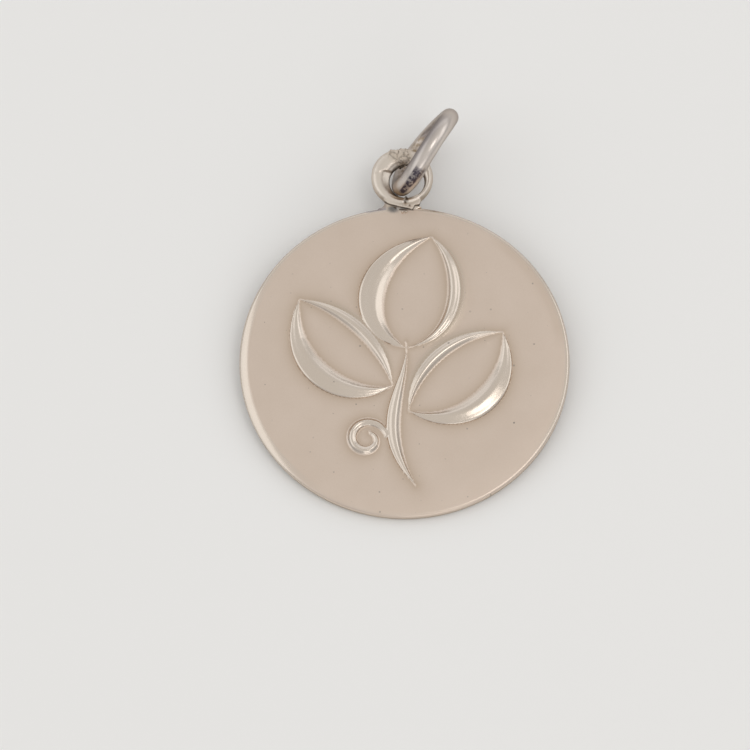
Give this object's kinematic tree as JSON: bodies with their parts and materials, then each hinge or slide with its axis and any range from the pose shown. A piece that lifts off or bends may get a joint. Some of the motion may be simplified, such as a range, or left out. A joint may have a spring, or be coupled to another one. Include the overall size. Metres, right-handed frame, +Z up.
{
  "type": "initial pendant",
  "caption": "Round metal disc pendant with a raised leaf sprig where an initial would stand, a soldered eyelet and a loose jump ring for a chain.",
  "frame": {"origin": "on the surface that the pendant lies on, under the middle of its bounding box", "axes": "+Y from the disc towards the eyelet and the jump ring, +Z up from the surface, face of the disc upwards"},
  "size_m": [0.025, 0.0326, 0.0074],
  "materials": {
    "satin_silver": "warm silver, fine satin face with polished relief and eyelet",
    "polished_silver": "worn polished silver wire"
  },
  "bodies": {
    "root": {"pendant_disc": "satin_silver", "jump_ring": "polished_silver"}
  },
  "joints": []
}
